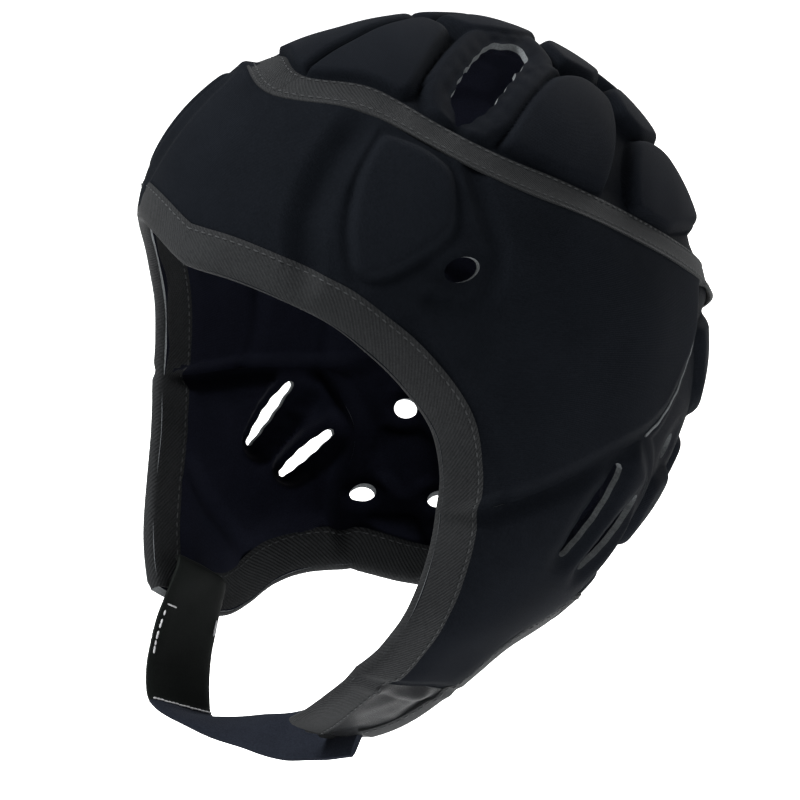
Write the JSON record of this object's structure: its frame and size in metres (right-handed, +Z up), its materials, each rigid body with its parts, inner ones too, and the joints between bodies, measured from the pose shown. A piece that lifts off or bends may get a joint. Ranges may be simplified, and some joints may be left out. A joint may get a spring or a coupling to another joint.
{
  "type": "rugby scrum cap",
  "caption": "Soft padded rugby headguard with grooved crown pads, ear slots, bound edges and a chin strap closed under the jaw.",
  "frame": {"origin": "the top of the head's seat, on the inside of the crown on the cap's middle line", "axes": "+Z up, -Y the way the wearer looks, +X the wearer's left"},
  "size_m": [0.1788, 0.2135, 0.2503],
  "materials": {
    "jersey": "matt black knit over foam pads",
    "tape": "black twill tape",
    "satin": "shiny black woven lining",
    "pile": "black brushed loop pile"
  },
  "bodies": {
    "root": {"crown_panel": "jersey", "band_panel": "jersey", "nape_panel": "jersey", "cheek_flap_left": "jersey", "cheek_flap_right": "jersey", "chin_tab": "satin", "chin_strap": "pile", "crown_tape": "tape", "face_binding": "tape", "hem_binding": "tape"}
  },
  "joints": []
}
